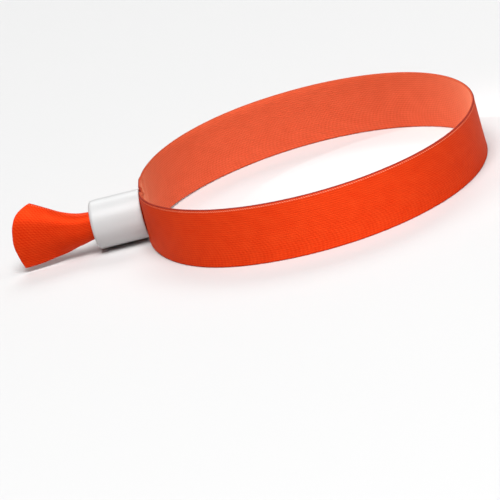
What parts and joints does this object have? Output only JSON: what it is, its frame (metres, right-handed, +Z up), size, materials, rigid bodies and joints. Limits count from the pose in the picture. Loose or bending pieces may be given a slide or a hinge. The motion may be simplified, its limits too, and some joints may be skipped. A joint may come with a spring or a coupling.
{
  "type": "woven fabric wristband with barrel lock",
  "caption": "Satin ribbon bracelet whose ends pass together through a plastic barrel lock and flare out as a short tail.",
  "frame": {"origin": "centre of the wrist loop, at the height of the ribbon edge that it stands on", "axes": "+Z up along the wrist loop's axis, -X from the loop's centre out through the lock and the tail"},
  "size_m": [0.1199, 0.0866, 0.017],
  "materials": {
    "ribbon_satin": "woven polyester satin ribbon, orange red, satin outer face and matt inner face",
    "lock_plastic": "plain white moulded plastic with a soft sheen"
  },
  "bodies": {
    "root": {"ribbon_band": "ribbon_satin", "barrel_lock": "lock_plastic"}
  },
  "joints": []
}
